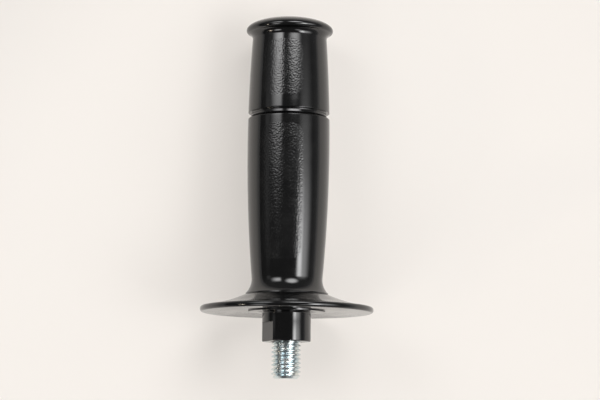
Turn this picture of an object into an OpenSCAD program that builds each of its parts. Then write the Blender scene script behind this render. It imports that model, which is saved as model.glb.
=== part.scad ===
// Side handle of a power tool: a one-piece moulded grip with a guard flange, and a steel stud
// moulded into its base. The origin is the centre of the seat, the end face of the wrench boss.
// The handle points along +Y, the stud leaves along -Y, and distances along the grip are
// measured from the seat.

/* [Stud] */
// Nominal diameter of the threaded stud
stud_d = 12; // [8:0.1:14]
// Length of stud that stands out of the seat
stud_reach = 15; // [10:0.5:30]
// Length of shank held inside the moulding, up to the bolt head
stud_hold = 15; // [10:0.5:18]
// How much smaller the radius of the held shank is than that of the thread's crests
shank_relief = 0.6; // [0.4:0.1:1]
// Chamfer on the tip of the stud
stud_chamfer = 1.3; // [0.5:0.1:2]
// Width across the flats of the bolt head
head_flats = 18; // [13:0.5:21]
// Height of the bolt head
head_h = 7.5; // [5:0.5:9]

/* [Wrench boss] */
// Diameter of the boss
boss_d = 20; // [17:0.5:26]
// Height of the boss, from the seat to the underside of the flange
boss_h = 11.9; // [9:0.1:20]
// Width across the two wrench flats
flats_w = 17; // [14:0.5:19]
// Length of the wrench flats, from the seat
flats_len = 7.8; // [4:0.1:9]
// Turn of the wrench flats about the axis, in degrees
flats_turn = 23.4; // [0:0.1:90]
// Rounding of the seat's outer edge
boss_edge = 0.4; // [0.2:0.1:1]
// Width of the countersink's ring round the stud, at the seat
mouth_w = 0.6; // [0.3:0.1:1]

/* [Guard flange] */
// Outside diameter of the flange
flange_d = 71; // [56:0.5:90]
// Thickness of the flange at its rim
rim_t = 2.4; // [2:0.1:4]
// Rounding of the rim's two edges
rim_round = 0.7; // [0.3:0.1:0.9]
// Height of the flange's dished top, from the rim to the foot of the collar
flange_rise = 4.9; // [3:0.1:8]
// Hollow of the flange's dished top, below a straight cone
flange_hollow = 0.7; // [0.1:0.05:1]
// Depth of the underside's conical hollow, from the rim to the disc round the boss
under_rise = 0.9; // [0.4:0.1:1.5]
// Diameter of the disc round the boss, which stands out of the hollow
disc_d = 31.6; // [28:0.2:40]
// Height of the disc
disc_h = 0.7; // [0.3:0.1:1.2]
// Diameter of the low cone between the disc and the boss
skirt_d = 24.8; // [22:0.2:27]
// Height of the low cone
skirt_h = 0.5; // [0.2:0.1:1.2]

/* [Collar and neck] */
// Diameter of the sharp collar edge above the flange
collar_d = 33.9; // [32:0.1:40]
// Height of the step under the collar edge
collar_step = 0.5; // [0.2:0.1:1.5]
// Smallest diameter of the grip, just above the collar
neck_d = 29.1; // [26:0.1:31]
// Radius of the hollow between the collar and the grip
neck_round = 8; // [6:0.5:12]

/* [Grip] */
// Largest diameter of the grip
belly_d = 33.9; // [32:0.1:40]
// Place of the largest diameter
belly_at = 80.5; // [70:0.5:86]
// Smallest diameter before the flared end
waist_d = 30.8; // [28:0.1:31.5]
// Place of the smallest diameter before the flared end
waist_at = 125.5; // [116:0.5:140]

/* [Groove] */
// Place of the middle of the groove
groove_at = 93.1; // [89:0.1:105]
// Width of the groove at the surface
groove_w = 2.7; // [2:0.1:3.5]
// Depth of the groove
groove_depth = 1.3; // [0.6:0.1:1.6]
// Radius in the bottom of the groove
groove_round = 0.5; // [0.2:0.05:0.6]

/* [Flared end] */
// Diameter of the flared end
end_d = 36; // [34:0.5:42]
// Radius of the hollow that leads into the flare
flare_round = 2.6; // [2:0.1:5]
// Radius of the flare's outer edge
end_edge = 1.4; // [1:0.1:3]
// Height of the domed end above its widest line
dome_h = 5; // [3:0.1:8]

/* [Hidden] */

// Radii
stud_r = stud_d / 2;
held_r = stud_r - shank_relief;
boss_r = boss_d / 2;
flange_r = flange_d / 2;
disc_r = disc_d / 2;
skirt_r = skirt_d / 2;
collar_r = collar_d / 2;
neck_r = neck_d / 2;
belly_r = belly_d / 2;
waist_r = waist_d / 2;
end_r = end_d / 2;

// Places along the handle
under_top = boss_h + under_rise;
disc_face = under_top - disc_h;
rim_top = boss_h + rim_t;
collar_foot = rim_top + flange_rise;
collar_edge = collar_foot + collar_step;

// Centre of the hollow above the collar: it passes through the collar edge and is as narrow as the neck
neck_cr = neck_r + neck_round;
neck_at = collar_edge + sqrt(pow(neck_round, 2) - pow(neck_cr - collar_r, 2));

// Centre of the hollow before the flare
waist_cr = waist_r + flare_round;

// Radius of the long arc of the grip that touches a hollow of radius r centred a further along and
// at radius c from the axis
function long_arc(a, c, r) = (a * a + pow(c - belly_r, 2) - r * r) / (2 * (r - c + belly_r));
lower_arc = long_arc(belly_at - neck_at, neck_cr, neck_round);
upper_arc = long_arc(waist_at - belly_at, waist_cr, flare_round);

// Angles at which the hollows start and end
collar_turn = asin((neck_at - collar_edge) / neck_round);
neck_turn = asin((belly_at - neck_at) / (lower_arc + neck_round));
waist_turn = asin((waist_at - belly_at) / (upper_arc + flare_round));

// The flare's hollow and its round edge touch, and the edge ends at the widest line
flare_rise = end_r - waist_r;
flare_sum = flare_round + end_edge;
flare_run = sqrt(2 * flare_sum * flare_rise - pow(flare_rise, 2));
widest_at = waist_at + flare_run;
flare_turn = asin(flare_run / flare_sum);

// Radius of the grip at a place between the two hollows
function grip_r(y) = belly_r + (y < belly_at ? bow(lower_arc, y) : bow(upper_arc, y));
function bow(arc_r, y) = sqrt(pow(arc_r, 2) - pow(y - belly_at, 2)) - arc_r;

// Points of an arc about a centre, from one angle to another, and evenly spaced steps
function arc(cx, cy, r, from, to, n) = [for (a = steps(from, to, n)) [cx + r * cos(a), cy + r * sin(a)]];
function steps(from, to, n) = [for (i = [0:n]) from + (to - from) * i / n];
// The same without the first step, where a curve starts on the last point of the one before
function later_steps(from, to, n) = [for (i = [1:n]) from + (to - from) * i / n];

// The dished top of the flange, from the rim to the foot of the collar
dish_from = [flange_r - rim_round, rim_top];
dish_to = [collar_r, collar_foot];
function dish(k) = dish_from + (dish_to - dish_from) * k - [0, 4 * flange_hollow * k * (1 - k)];

groove_low = groove_at - groove_w / 2;
groove_high = groove_at + groove_w / 2;
groove_floor = grip_r(groove_at) - groove_depth;
// What the groove's cutter reaches past the surface
cutter_over = 2;

// Half outline of the moulding, from the seat to the end of the dome
outline = concat(
    [[0, 0]],
    arc(boss_r - boss_edge, boss_edge, boss_edge, -90, 0, 4),
    [[boss_r, disc_face - skirt_h], [skirt_r, disc_face], [disc_r, disc_face], [disc_r, under_top]],
    arc(flange_r - rim_round, boss_h + rim_round, rim_round, -90, 0, 6),
    arc(flange_r - rim_round, rim_top - rim_round, rim_round, 0, 90, 6),
    [for (k = later_steps(0, 1, 12)) dish(k)],
    arc(neck_cr, neck_at, neck_round, 180 + collar_turn, 180 - neck_turn, 16),
    [for (y = steps(neck_at + neck_round * sin(neck_turn), belly_at, 14)) [grip_r(y), y]],
    [for (y = later_steps(belly_at, waist_at - flare_round * sin(waist_turn), 12)) [grip_r(y), y]],
    arc(waist_cr, waist_at, flare_round, 180 + waist_turn, 180 - flare_turn, 10),
    arc(end_r - end_edge, widest_at, end_edge, -flare_turn, 0, 6),
    [for (a = later_steps(0, 90, 15)) [end_r * cos(a), widest_at + dome_h * sin(a)]]
);

// Cutter of the groove: square upper wall, round bottom, lower wall at 45 degrees
groove_cutter = concat(
    [[groove_floor + groove_depth + cutter_over, groove_high]],
    arc(groove_floor + groove_round, groove_high - groove_round, groove_round, 90, 225, 8),
    [[grip_r(groove_low), groove_low], [grip_r(groove_low) + cutter_over, groove_low - cutter_over]]
);

// Turns a shape built along +Z so that it points along +Y
module along_grip() {
    rotate([-90, 0, 0])
        children();
}

// Two boxes that leave the wrench flats when they are cut from the boss
module flats_cutter() {
    side = boss_d + 2 * boss_edge;
    rotate([0, 0, flats_turn])
        for (turn = [0, 180])
            rotate([0, 0, turn])
                translate([flats_w / 2, -side / 2, -boss_edge])
                    cube([side / 2, side, flats_len + boss_edge]);
}

// The end of the bolt that stands out: a chamfered tip and a round shank as wide as the thread
module stud_end() {
    translate([0, 0, -stud_reach])
        cylinder(h = stud_chamfer, r1 = stud_r - stud_chamfer, r2 = stud_r, $fn = 96);
    translate([0, 0, stud_chamfer - stud_reach])
        cylinder(h = stud_reach - stud_chamfer, r = stud_r, $fn = 96);
}

// The rest of the bolt, which is inside the moulding: a thinner shank and a hexagon head
module held_end() {
    cylinder(h = stud_hold, r = held_r, $fn = 96);
    translate([0, 0, stud_hold])
        cylinder(h = head_h, d = head_flats / cos(30), $fn = 6);
}

// Cutter at 45 degrees of the countersink in the seat, from one ring's width outside it
module mouth_cutter() {
    wide_r = stud_r + 2 * mouth_w;
    translate([0, 0, -mouth_w])
        cylinder(h = wide_r - held_r, r1 = wide_r, r2 = held_r, $fn = 96);
}

// The moulded grip with its flange and wrench boss, with the bed of the bolt left out of it
module handle() {
    color([0.05, 0.05, 0.055])
        along_grip()
            difference() {
                rotate_extrude($fn = 128)
                    difference() {
                        polygon(outline);
                        polygon(groove_cutter);
                    }
                flats_cutter();
                mouth_cutter();
                held_end();
            }
}

// The zinc-plated bolt whose shank is the stud
module stud() {
    color([0.75, 0.79, 0.82])
        along_grip() {
            stud_end();
            held_end();
        }
}

handle();
stud();
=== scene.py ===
import math

import bmesh
import bpy
import numpy as np
from mathutils import Matrix, Vector


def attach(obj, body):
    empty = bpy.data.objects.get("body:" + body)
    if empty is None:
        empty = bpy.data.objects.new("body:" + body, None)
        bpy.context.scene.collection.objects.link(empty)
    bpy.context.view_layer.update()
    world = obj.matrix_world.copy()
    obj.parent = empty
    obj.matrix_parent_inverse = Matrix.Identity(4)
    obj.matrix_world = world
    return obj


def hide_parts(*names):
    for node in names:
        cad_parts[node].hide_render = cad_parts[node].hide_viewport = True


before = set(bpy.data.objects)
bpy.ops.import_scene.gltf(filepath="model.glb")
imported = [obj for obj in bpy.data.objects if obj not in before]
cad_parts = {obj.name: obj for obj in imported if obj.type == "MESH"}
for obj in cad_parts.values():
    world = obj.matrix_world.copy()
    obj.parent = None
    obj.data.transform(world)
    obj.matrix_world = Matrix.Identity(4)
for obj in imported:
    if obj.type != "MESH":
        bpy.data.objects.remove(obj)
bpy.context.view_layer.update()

MM = 0.001
DEG = 180 / math.pi

# Sizes in millimetres, named as in the part's source. Places along the handle are measured from the seat.
stud_d, stud_reach, stud_chamfer, shank_relief = 12.0, 15.0, 1.3, 0.6
boss_d, boss_h, flats_w, flats_len, flats_turn = 20.0, 11.9, 17.0, 7.8, 23.4
boss_edge, mouth_w = 0.4, 0.6
flange_d, rim_t, flange_rise, flange_hollow = 71.0, 2.4, 4.9, 0.7
under_rise, disc_d, disc_h, skirt_d, skirt_h = 0.9, 31.6, 0.7, 24.8, 0.5
collar_d, collar_step, neck_d, neck_round = 33.9, 0.5, 29.1, 8.0
belly_d, belly_at, waist_d, waist_at = 33.9, 80.5, 30.8, 125.5
groove_at, groove_w, groove_depth, groove_round = 93.1, 2.7, 1.3, 0.5
end_d, flare_round, end_edge, dome_h = 36.0, 2.6, 1.4, 5.0

# The rim's rounding is fuller than in the source, and corners that are sharp there are softened here.
# groove_side is how far on each side of the groove its own outline reaches.
rim_soft = 1.05
keen, crisp, soft = 0.08, 0.12, 0.3
groove_lip, groove_foot = 0.22, 0.35
groove_side = 0.6

# The thread: shares of the pitch that the crest and the root take, how far they are rounded, half the
# angle between the flanks, where it starts in the pitch, the gaps round it in the countersink, and how
# far the mesh runs on inside the moulding and narrows there
pitch = 1.75
crest_share, root_share = 0.22, 0.22
crest_crown, root_hollow = 0.03, 0.05
flank_deg = 30
thread_start = 0.2
mouth_gap, shank_gap = 0.12, 0.05
hidden_reach, hidden_step = 0.3, 0.5

# The grain panels: the angle of the front one's middle, from +Z towards +X, half its width in degrees,
# where the panels start and end, the rounding of their corners and the width over which they fade
panel_turn, panel_half = -10.8, 30.3
panels = [(32.6, 88.0), (99.7, 123.0)]
panel_corner = 4.5
panel_fade = 0.5

# How finely the meshes are divided: round the moulding, round the stud and along each turn of its thread
turn_columns = 192
thread_columns, thread_rows = 108, 26

stud_r, boss_r, flange_r, disc_r, skirt_r = stud_d / 2, boss_d / 2, flange_d / 2, disc_d / 2, skirt_d / 2
collar_r, neck_r, belly_r, waist_r, end_r = collar_d / 2, neck_d / 2, belly_d / 2, waist_d / 2, end_d / 2
held_r = stud_r - shank_relief
mouth_r = stud_r + mouth_w
under_top = boss_h + under_rise
disc_face = under_top - disc_h
rim_top = boss_h + rim_t
collar_foot = rim_top + flange_rise
collar_edge = collar_foot + collar_step


def steps(a, b, n):
    return [a + (b - a) * i / n for i in range(n + 1)]


def arc(cx, cy, r, a, b, n):
    turns = [math.radians(t) for t in steps(a, b, n)]
    return [(cx + r * math.cos(t), cy + r * math.sin(t)) for t in turns]


def long_arc(a, c, r):
    """Radius of the grip's arc that touches a hollow of radius r, centred a along and c off the axis."""
    return (a * a + (c - belly_r) ** 2 - r * r) / (2 * (r - c + belly_r))


# The hollows at the neck and before the flare, and the angles at which they meet the long arcs
neck_cr = neck_r + neck_round
neck_at = collar_edge + math.sqrt(neck_round ** 2 - (neck_cr - collar_r) ** 2)
waist_cr = waist_r + flare_round
lower_arc = long_arc(belly_at - neck_at, neck_cr, neck_round)
upper_arc = long_arc(waist_at - belly_at, waist_cr, flare_round)
collar_turn = math.degrees(math.asin((neck_at - collar_edge) / neck_round))
neck_turn = math.degrees(math.asin((belly_at - neck_at) / (lower_arc + neck_round)))
waist_turn = math.degrees(math.asin((waist_at - belly_at) / (upper_arc + flare_round)))
flare_rise, flare_sum = end_r - waist_r, flare_round + end_edge
flare_run = math.sqrt(2 * flare_sum * flare_rise - flare_rise ** 2)
widest_at = waist_at + flare_run
flare_turn = math.degrees(math.asin(flare_run / flare_sum))


def grip_r(y):
    a = lower_arc if y < belly_at else upper_arc
    return belly_r + math.sqrt(a * a - (y - belly_at) ** 2) - a


def softened(points, n):
    """A polyline whose corners with a radius become arcs: points are (r, y) or (r, y, radius)."""
    out = []
    for i, p in enumerate(points):
        if len(p) < 3 or i in (0, len(points) - 1):
            out.append((p[0], p[1]))
            continue
        c, a, b = (np.array(q[:2], float) for q in (p, points[i - 1], points[i + 1]))
        u, v = a - c, b - c
        lu, lv = np.linalg.norm(u), np.linalg.norm(v)
        u, v = u / lu, v / lv
        half = math.acos(max(-1, min(1, float(u @ v)))) / 2
        t = min(p[2] / math.tan(half), 0.49 * lu, 0.49 * lv)
        rad = t * math.tan(half)
        mid = c + (u + v) / np.linalg.norm(u + v) * (rad / math.sin(half))
        s, e = c + u * t - mid, c + v * t - mid
        a0 = math.atan2(s[1], s[0])
        turn = (math.atan2(e[1], e[0]) - a0 + math.pi) % (2 * math.pi) - math.pi
        for k in range(n + 1):
            w = a0 + turn * k / n
            out.append((mid[0] + rad * math.cos(w), mid[1] + rad * math.sin(w)))
    return out


def dish(k):
    """A point of the flange's dished top, a share k of the way from the rim to the collar."""
    r = flange_r - rim_soft + (collar_r - flange_r + rim_soft) * k
    return (r, rim_top + flange_rise * k - 4 * flange_hollow * k * (1 - k))


def boss_outline():
    """From the bed of the bolt to the end of the wrench flats."""
    return softened([(0, mouth_r - held_r), (held_r, mouth_r - held_r), (mouth_r, 0, crisp),
                     (boss_r, 0, boss_edge), (boss_r, flats_len)], n=6)


def flange_outline():
    """From the end of the wrench flats to the start of the long arc above the neck."""
    rim_r = flange_r - rim_soft
    out = softened([(boss_r, flats_len), (boss_r, disc_face - skirt_h, soft), (skirt_r, disc_face, soft),
                    (disc_r, disc_face, crisp), (disc_r, under_top, crisp), (rim_r, boss_h)], n=6)
    out += arc(rim_r, boss_h + rim_soft, rim_soft, -90, 0, n=10)[1:]
    out += arc(rim_r, rim_top - rim_soft, rim_soft, 0, 90, n=10)
    out += [dish(k) for k in steps(0, 1, 22)[1:-1]]
    neck = arc(neck_cr, neck_at, neck_round, 180 + collar_turn, 180 - neck_turn, n=40)
    collar = [dish(0.99), (collar_r, collar_foot, crisp), (collar_r, collar_edge, keen), neck[1]]
    out += softened(collar, n=4)[1:-1]
    return out + neck[1:]


def groove_outline(low, high):
    """Sloping lower wall, rounded bottom and square upper wall."""
    floor = grip_r(groove_at) - groove_depth
    foot = floor + groove_round * 0.3
    before, after = low - groove_side, high + groove_side
    slope = [(grip_r(before), before), (grip_r(low), low, groove_lip)]
    slope.append((foot, low + grip_r(low) - foot, groove_foot))
    bottom = [(floor, high - groove_round * 1.2, soft), (floor, high, groove_round)]
    return softened(slope + bottom + [(grip_r(high), high, groove_lip), (grip_r(after), after)], n=6)


def grip_outline():
    """From the neck to the end of the dome."""
    low, high = groove_at - groove_w / 2, groove_at + groove_w / 2
    start = neck_at + neck_round * math.sin(math.radians(neck_turn))
    stop = waist_at - flare_round * math.sin(math.radians(waist_turn))
    out = [(grip_r(y), y) for y in steps(start, low - groove_side, 74)[1:]]
    out += groove_outline(low, high)[1:]
    out += [(grip_r(y), y) for y in steps(high + groove_side, stop, 40)[1:]]
    out += arc(waist_cr, waist_at, flare_round, 180 + waist_turn, 180 - flare_turn, n=26)[1:]
    out += arc(end_r - end_edge, widest_at, end_edge, -flare_turn, 0, n=14)[1:]
    for a in map(math.radians, steps(0, 90, 40)[1:-1]):
        out.append((end_r * math.cos(a), widest_at + dome_h * math.sin(a)))
    return out + [(0.0, widest_at + dome_h)]


def placed(name, data):
    ob = bpy.data.objects.new(name, data)
    bpy.context.scene.collection.objects.link(ob)
    return ob


def welded(verts, faces, near, short):
    """A bmesh whose points closer than near are joined and whose edges shorter than short are gone."""
    bm = bmesh.new()
    vs = [bm.verts.new(v) for v in verts]
    for f in faces:
        bm.faces.new([vs[i] for i in f])
    bmesh.ops.remove_doubles(bm, verts=bm.verts, dist=near)
    bmesh.ops.dissolve_degenerate(bm, edges=bm.edges, dist=short)
    return bm


def smooth_object(name, bm, sharp_deg):
    bmesh.ops.recalc_face_normals(bm, faces=bm.faces)
    for f in bm.faces:
        f.smooth = True
    me = bpy.data.meshes.new(name)
    bm.to_mesh(me)
    bm.free()
    me.set_sharp_from_angle(angle=math.radians(sharp_deg))
    return placed(name, me)


# The moulding: the lathe's columns include the edges of the two wrench flats
flat_normals = [math.radians(90 + flats_turn), math.radians(flats_turn - 90)]
flat_half = math.acos(flats_w / 2 / boss_r)
columns = [2 * math.pi * i / turn_columns for i in range(turn_columns)]
for m in flat_normals:
    columns += [(m + s * flat_half) % (2 * math.pi) for s in (-1, 1)]
columns.sort()


def with_flats(r, a):
    """The boss's radius at the angle a, where a flat may cut it."""
    for m in flat_normals:
        c = math.cos(a - m)
        if c > 0 and r * c > flats_w / 2:
            return flats_w / 2 / c
    return r


def lathe(outline):
    """A closed mesh round the Y axis. The outline is (r, y, cut), with cut where the flats are."""
    verts, faces, rows = [], [], []
    n = len(columns)
    for r, y, cut in outline:
        if r < 1e-9:
            rows.append([len(verts)] * n)
            verts.append((0, y * MM, 0))
            continue
        rows.append(list(range(len(verts), len(verts) + n)))
        for a in columns:
            q = with_flats(r, a) if cut else r
            verts.append((q * math.sin(a) * MM, y * MM, q * math.cos(a) * MM))
    for low, up in zip(rows[:-1], rows[1:]):
        for i in range(n):
            j = (i + 1) % n
            # next to the axis two of the four corners are one point
            faces.append(list(dict.fromkeys((low[i], low[j], up[j], up[i]))))
    return verts, faces


outline = [(r, y, True) for r, y in boss_outline()]
outline += [(r, y, False) for r, y in flange_outline() + grip_outline()]
handle = smooth_object("handle_moulding", welded(*lathe(outline), near=2e-7, short=1e-8), 28)


def thread_radius(u):
    """Radius of an M12 x 1.75 thread at a share u of the pitch, measured from the middle of a crest."""
    u = abs((u + 0.5) % 1 - 0.5)
    top, bottom = crest_share / 2, 0.5 - root_share / 2
    flank = (bottom - top) * pitch / math.tan(math.radians(flank_deg))
    if u < top:
        return stud_r - crest_crown * (u / top) ** 2
    if u < bottom:
        return stud_r - crest_crown - flank * (u - top) / (bottom - top)
    k = (u - bottom) / (0.5 - bottom)
    return stud_r - crest_crown - flank - root_hollow * (1 - (1 - k) ** 2)


def stud_mesh():
    """The threaded end. Its rows follow the helix, so that the crest is a clean line."""
    end_in = mouth_r - held_r + hidden_reach
    first = int((-stud_reach - pitch) / pitch * thread_rows) - 2
    last = int((end_in + pitch) / pitch * thread_rows) + 2
    verts, rows, faces = [], [], []
    for j in range(first, last + 1):
        rows.append(range(len(verts), len(verts) + thread_columns))
        for i in range(thread_columns):
            a = 2 * math.pi * i / thread_columns
            y = pitch * (j / thread_rows + i / thread_columns)
            yc = max(-stud_reach, min(end_in, y))
            r = thread_radius(j / thread_rows + thread_start)
            r = min(r, stud_r - stud_chamfer + yc + stud_reach)
            r = min(r, max(held_r - shank_gap, mouth_r - mouth_gap - max(yc, 0)))
            if y <= -stud_reach:
                r = stud_r - stud_chamfer
            if y >= end_in:
                r = held_r - hidden_step
            # seen from the tip, the right-hand thread turns clockwise as it goes away
            verts.append((r * math.sin(a) * MM, yc * MM, r * math.cos(a) * MM))
    for low, up in zip(rows[:-1], rows[1:]):
        for i in range(thread_columns - 1):
            faces.append((low[i], low[i + 1], up[i + 1], up[i]))
    # the last column joins the first one a whole pitch further on
    for j in range(len(rows) - 1 - thread_rows):
        far = j + thread_rows
        faces.append((rows[j][-1], rows[far][0], rows[far + 1][0], rows[j + 1][-1]))
    return verts, faces


def build_stud():
    bm = welded(*stud_mesh(), near=1e-6, short=1e-7)
    # what is left of the rows past the two ends lies in their planes
    loose = [e for e in bm.edges if not e.link_faces]
    bmesh.ops.delete(bm, geom=loose, context="EDGES")
    for at_tip in (True, False):
        ring = [e for e in bm.edges if e.is_boundary]
        ring = [e for e in ring if (abs(e.verts[0].co.y + stud_reach * MM) < 1e-6) == at_tip]
        bmesh.ops.contextual_create(bm, geom=ring)
    return smooth_object("stud_thread", bm, 35)


stud = build_stud()


# Materials

def new_material(name):
    m = bpy.data.materials.new(name)
    m.use_nodes = True
    nt = m.node_tree
    nt.nodes.clear()
    out = nt.nodes.new("ShaderNodeOutputMaterial")
    bsdf = nt.nodes.new("ShaderNodeBsdfPrincipled")
    nt.links.new(bsdf.outputs["BSDF"], out.inputs["Surface"])
    return m, nt, bsdf


def put(nt, socket, value):
    if isinstance(value, bpy.types.NodeSocket):
        nt.links.new(value, socket)
    else:
        socket.default_value = value


def math_node(nt, op, a, b=None):
    n = nt.nodes.new("ShaderNodeMath")
    n.operation = op
    put(nt, n.inputs[0], a)
    if b is not None:
        put(nt, n.inputs[1], b)
    return n.outputs[0]


def product(nt, *values):
    out = values[0]
    for v in values[1:]:
        out = math_node(nt, "MULTIPLY", out, v)
    return out


def far_from(nt, u, v):
    """The length of a step of u one way and v across it."""
    return math_node(nt, "SQRT", math_node(nt, "ADD", product(nt, u, u), product(nt, v, v)))


def ramp(nt, x, x0, x1, y0=0.0, y1=1.0):
    n = nt.nodes.new("ShaderNodeMapRange")
    n.interpolation_type = "SMOOTHSTEP"
    put(nt, n.inputs["Value"], x)
    n.inputs["From Min"].default_value = x0
    n.inputs["From Max"].default_value = x1
    n.inputs["To Min"].default_value = y0
    n.inputs["To Max"].default_value = y1
    return n.outputs["Result"]


def falling(nt, x, x0, x1):
    return math_node(nt, "SUBTRACT", 1.0, ramp(nt, x, x0, x1))


def noise(nt, vector, scale, detail, rough=0.5):
    n = nt.nodes.new("ShaderNodeTexNoise")
    n.inputs["Scale"].default_value = scale
    n.inputs["Detail"].default_value = detail
    n.inputs["Roughness"].default_value = rough
    nt.links.new(vector, n.inputs["Vector"])
    return n.outputs["Fac"]


def blend(nt, share, first, second):
    """A colour that goes from first to second as share goes from 0 to 1."""
    n = nt.nodes.new("ShaderNodeMix")
    n.data_type = "RGBA"
    nt.links.new(share, n.inputs[0])
    put(nt, n.inputs[6], first)
    put(nt, n.inputs[7], second)
    return n.outputs[2]


def bumped(nt, height, depth, under=None):
    """The normal over a height whose 0 to 1 is a depth in metres, on top of the normal under it."""
    n = nt.nodes.new("ShaderNodeBump")
    n.inputs["Strength"].default_value = 1.0
    n.inputs["Distance"].default_value = depth
    nt.links.new(height, n.inputs["Height"])
    if under is not None:
        nt.links.new(under, n.inputs["Normal"])
    return n.outputs["Normal"]


def panel_mask(nt, co):
    """1 on the grain panels, front and back, which are rounded rectangles on the grip's surface."""
    xyz = nt.nodes.new("ShaderNodeSeparateXYZ")
    nt.links.new(co, xyz.inputs[0])
    x, y, z = xyz.outputs
    r = math_node(nt, "MAXIMUM", far_from(nt, x, z), 1e-4)
    # how far round from the middle of the front or back panel a point is, in radians
    t = math.radians(panel_turn)
    dot = math_node(nt, "ADD", product(nt, x, math.sin(t)), product(nt, z, math.cos(t)))
    cos_turn = math_node(nt, "ABSOLUTE", math_node(nt, "DIVIDE", dot, r))
    turned = math_node(nt, "ARCCOSINE", math_node(nt, "MINIMUM", cos_turn, 1.0))
    corner, fade = panel_corner * MM, panel_fade / 2 * MM
    half_w = math.radians(panel_half) * waist_r * MM
    u = math_node(nt, "SUBTRACT", product(nt, turned, waist_r * MM), half_w - corner)
    masks = []
    for low, high in panels:
        off = math_node(nt, "ABSOLUTE", math_node(nt, "SUBTRACT", y, (low + high) / 2 * MM))
        v = math_node(nt, "SUBTRACT", off, (high - low) / 2 * MM - corner)
        far = far_from(nt, *(math_node(nt, "MAXIMUM", q, 0.0) for q in (u, v)))
        masks.append(falling(nt, far, corner - fade, corner + fade))
    return math_node(nt, "ADD", *masks)


def black_moulding():
    m, nt, b = new_material("black_moulding")
    co = nt.nodes.new("ShaderNodeTexCoord").outputs["Object"]
    # the smooth skin has a slow unevenness, as cooled plastic has
    skin = bumped(nt, noise(nt, co, scale=90, detail=2.0), depth=0.00004)
    # grain: small rounded bumps with finer ones between them
    mask = panel_mask(nt, co)
    coarse = noise(nt, co, scale=1404, detail=0.0)
    fine = noise(nt, co, scale=2520, detail=1.0)
    height = math_node(nt, "ADD", product(nt, coarse, 0.75), product(nt, fine, 0.25))
    height = product(nt, math_node(nt, "SUBTRACT", height, 0.5), mask)
    nt.links.new(bumped(nt, height, depth=0.000073, under=skin), b.inputs["Normal"])
    smear = noise(nt, co, scale=160, detail=4.0, rough=0.6)
    rough = math_node(nt, "ADD", ramp(nt, smear, 0.35, 0.75, 0.10, 0.16), product(nt, mask, 0.06))
    nt.links.new(rough, b.inputs["Roughness"])
    tone = blend(nt, ramp(nt, smear, 0.3, 0.8), (0.0020, 0.0020, 0.0022, 1), (0.0036, 0.0035, 0.0034, 1))
    nt.links.new(tone, b.inputs["Base Color"])
    b.inputs["IOR"].default_value = 1.6
    return m


def zinc_steel():
    m, nt, b = new_material("zinc_steel")
    co = nt.nodes.new("ShaderNodeTexCoord").outputs["Object"]
    # the plating is bluish in places and warmer in others
    tint = ramp(nt, noise(nt, co, scale=420, detail=3.0, rough=0.6), 0.35, 0.65)
    nt.links.new(blend(nt, tint, (0.62, 0.72, 0.76, 1), (0.78, 0.80, 0.78, 1)), b.inputs["Base Color"])
    b.inputs["Metallic"].default_value = 1.0
    # small rough spots
    spots = noise(nt, co, scale=1400, detail=3.0, rough=0.6)
    nt.links.new(ramp(nt, spots, 0.3, 0.7, 0.15, 0.26), b.inputs["Roughness"])
    nt.links.new(bumped(nt, spots, depth=0.00002), b.inputs["Normal"])
    return m


handle.data.materials.append(black_moulding())
stud.data.materials.append(zinc_steel())
for piece, node, slot in ((handle, "handle", "black_moulding"), (stud, "stud", "zinc_steel")):
    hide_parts(node)
    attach(piece, "root")


# Floor: a pale board that the flange's rim and the flared end lie on

def reach(points, tilt):
    """How far below the axis the points reach when the handle is tilted."""
    return max(y * math.sin(tilt) + r * math.cos(tilt) for r, y, _ in points)


def resting_tilt(near_end, far_end):
    """The tilt at which both ends are equally low, found by halving."""
    low, high = 0.0, math.radians(20)
    for _ in range(50):
        mid = (low + high) / 2
        if reach(near_end, mid) > reach(far_end, mid):
            low = mid
        else:
            high = mid
    return mid


rim = [p for p in outline if p[1] < collar_foot]
flare = [p for p in outline if p[1] > waist_at]
tilt = resting_tilt(rim, flare)
board_up = Vector((0, -math.sin(tilt), math.cos(tilt)))
board_drop = reach(rim, tilt) * MM


def board_mesh():
    """A flat disc of rings, with radii in metres."""
    rings, sides = [0.25, 0.6, 1.4, 3.2], 96
    verts, faces = [(0, 0, 0)], []
    for r in rings:
        for i in range(sides):
            a = 2 * math.pi * i / sides
            verts.append((r * math.cos(a), r * math.sin(a), 0))
    for i in range(sides):
        j = (i + 1) % sides
        faces.append((0, 1 + i, 1 + j))
        for k in range(len(rings) - 1):
            a, b = 1 + k * sides, 1 + (k + 1) * sides
            faces.append((a + i, b + i, b + j, a + j))
    me = bpy.data.meshes.new("board")
    me.from_pydata(verts, [], faces)
    return me


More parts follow.
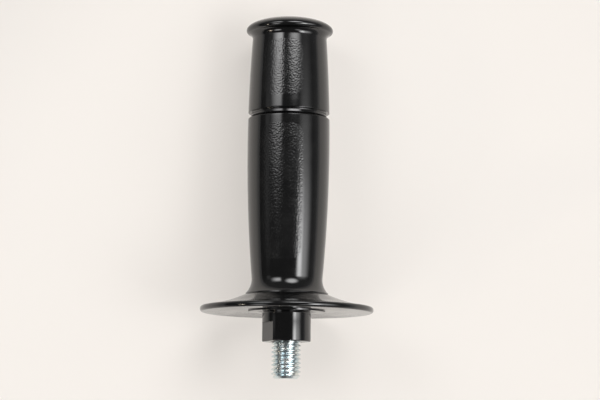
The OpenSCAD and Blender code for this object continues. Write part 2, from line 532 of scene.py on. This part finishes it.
def pale_board():
    m, nt, b = new_material("board")
    co = nt.nodes.new("ShaderNodeTexCoord").outputs["Object"]
    near = blend(nt, noise(nt, co, scale=9, detail=3.0), (0.79, 0.748, 0.705, 1), (0.815, 0.773, 0.73, 1))
    # painted shade: the board's colour gets darker away from the handle, as if the lights reached only
    # the part near it, measured from a point 5 cm towards +X so it darkens sooner on the -X side
    length = nt.nodes.new("ShaderNodeVectorMath")
    length.operation = "DISTANCE"
    nt.links.new(co, length.inputs[0])
    length.inputs[1].default_value = (0.05, 0.0, 0.0)
    pale = blend(nt, ramp(nt, length.outputs["Value"], 0.16, 0.42), near, (0.42, 0.415, 0.41, 1))
    nt.links.new(pale, b.inputs["Base Color"])
    b.inputs["Roughness"].default_value = 0.6
    b.inputs["Specular IOR Level"].default_value = 0.15
    # what the camera and the reflections see of it is half its own pale colour, so its shadow stays light
    own = nt.nodes.new("ShaderNodeEmission")
    own.inputs["Strength"].default_value = 1.18
    nt.links.new(pale, own.inputs["Color"])
    ray = nt.nodes.new("ShaderNodeLightPath")
    seen = math_node(nt, "MAXIMUM", ray.outputs["Is Camera Ray"], ray.outputs["Is Glossy Ray"])
    seen = math_node(nt, "MAXIMUM", seen, ray.outputs["Is Transmission Ray"])
    both = nt.nodes.new("ShaderNodeMixShader")
    nt.links.new(product(nt, seen, 0.5), both.inputs[0])
    nt.links.new(b.outputs["BSDF"], both.inputs[1])
    nt.links.new(own.outputs[0], both.inputs[2])
    nt.links.new(both.outputs[0], nt.nodes["Material Output"].inputs["Surface"])
    return m


board = placed("board", board_mesh())
board.matrix_world = Matrix.Translation(-board_up * board_drop) @ Matrix.Rotation(tilt, 4, "X")
board.data.materials.append(pale_board())


# Surroundings: a dim room with soft lights and a pale horizon, by direction as seen from the handle

world = bpy.data.worlds.new("studio")
bpy.context.scene.world = world
world.use_nodes = True
nt = world.node_tree
nt.nodes.clear()
out = nt.nodes.new("ShaderNodeOutputWorld")
xyz = nt.nodes.new("ShaderNodeSeparateXYZ")
nt.links.new(nt.nodes.new("ShaderNodeTexCoord").outputs["Generated"], xyz.inputs[0])
dx, dy, dz = xyz.outputs
# in degrees: round the handle from +Z towards +X, and towards +Y
side = product(nt, math_node(nt, "ARCTAN2", dx, dz), DEG)
lean_y = product(nt, math_node(nt, "ARCSINE", dy), DEG)


def soft_box(level, across, along):
    """A light that rises between the first two angles, and falls between the last two, both ways."""
    a0, a1, a2, a3 = across
    b0, b1, b2, b3 = along
    return product(nt, ramp(nt, side, a0, a1), falling(nt, side, a2, a3),
                   ramp(nt, lean_y, b0, b1), falling(nt, lean_y, b2, b3), level)


def soft_oval(level, middle, half):
    """A light about a middle that is full as far as 0.3 of its half widths, and then falls off."""
    u = product(nt, math_node(nt, "SUBTRACT", side, middle[0]), 1 / half[0])
    v = product(nt, math_node(nt, "SUBTRACT", lean_y, middle[1]), 1 / half[1])
    return product(nt, falling(nt, far_from(nt, u, v), 0.3, 1.0), level)


lights = [
    # left, towards the flared end, and a pale strip beside it
    soft_box(6.2, across=(-60, -33, -27, -18), along=(6, 20, 22, 38)),
    soft_box(0.30, across=(-74, -66, -60, -54), along=(-4, 3, 10, 24)),
    # right, towards the stud, its dimmer half and its glow
    soft_box(6.9, across=(25, 36, 39, 49), along=(-36, -14, -3, 8)),
    soft_box(2.8, across=(25, 36, 50, 76), along=(-36, -14, -2, 10)),
    soft_box(1.0, across=(24, 42, 48, 72), along=(-38, -10, 8, 24)),
    # above, far towards the flared end
    soft_oval(7.0, middle=(15, 29.5), half=(27, 18)),
    # left and right, far towards the stud
    soft_oval(4.0, middle=(-42, -34), half=(16, 16)),
    soft_oval(2.3, middle=(27, -36), half=(14, 14)),
    # the right wall
    product(nt, ramp(nt, side, 60, 90), 0.12),
]
level = ramp(nt, lean_y, 5, 35, 0.11, 0.18)
for light in lights:
    level = math_node(nt, "ADD", level, light)
pale = falling(nt, dz, math.sin(math.radians(-1)), math.sin(math.radians(10)))
horizon = product(nt, pale, ramp(nt, side, -90, 90, 0.08, 0.30))
above = product(nt, math_node(nt, "SUBTRACT", 1.0, pale), level)
room = nt.nodes.new("ShaderNodeBackground")
room.inputs["Color"].default_value = (1.0, 1.0, 1.0, 1)
nt.links.new(math_node(nt, "ADD", horizon, above), room.inputs["Strength"])
# a small warm lamp to the left, towards the stud, which shows as points on rounded edges
lamp = nt.nodes.new("ShaderNodeBackground")
lamp.inputs["Color"].default_value = (1.0, 0.86, 0.68, 1)
nt.links.new(soft_oval(40.0, middle=(-66, -26), half=(4.5, 3.5)), lamp.inputs["Strength"])
sky = nt.nodes.new("ShaderNodeAddShader")
nt.links.new(room.outputs[0], sky.inputs[0])
nt.links.new(lamp.outputs[0], sky.inputs[1])
nt.links.new(sky.outputs[0], out.inputs[0])
world.cycles.sampling_method = "MANUAL"
world.cycles.sample_map_resolution = 1024


# Camera, at the photograph's place, which is worked out on the board and then turned into the handle's
# frame. Straight below the lens is main_px, and the camera is turned from there to the picture's middle.

picture_w, sensor_w = 600, 36
focal_px, centre_px, main_px = 1997.7, (299.5, 199.5), (244, 160)
# the camera's height over the board and the seat's place on it, in millimetres, and the handle's turn
camera_h = 851.0
seat = Vector((17.056, -73.984, board_drop / MM))
lean = math.radians(0.82)
axis = Vector((math.cos(tilt) * math.sin(lean), math.cos(tilt) * math.cos(lean), -math.sin(tilt)))
right = Vector((math.cos(lean), -math.sin(lean), 0))
to_handle = Matrix((right, axis, right.cross(axis)))
look = Vector((centre_px[0] - main_px[0], main_px[1] - centre_px[1], -focal_px)).normalized()
camera_right = (Vector((1, 0, 0)) - look * look.x).normalized()
camera_axes = (camera_right, camera_right.cross(look), -look)
camera_turn = Matrix([to_handle @ v for v in camera_axes]).transposed().to_4x4()
cam = bpy.data.cameras.new("camera")
cam.sensor_width = sensor_w
cam.lens = sensor_w * focal_px / picture_w
cam.clip_start, cam.clip_end = 0.01, 20
camera = placed("camera", cam)
camera.matrix_world = Matrix.Translation(to_handle @ (Vector((0, 0, camera_h)) - seat) * MM) @ camera_turn
bpy.context.scene.camera = camera

bpy.context.scene.view_settings.view_transform = "Standard"
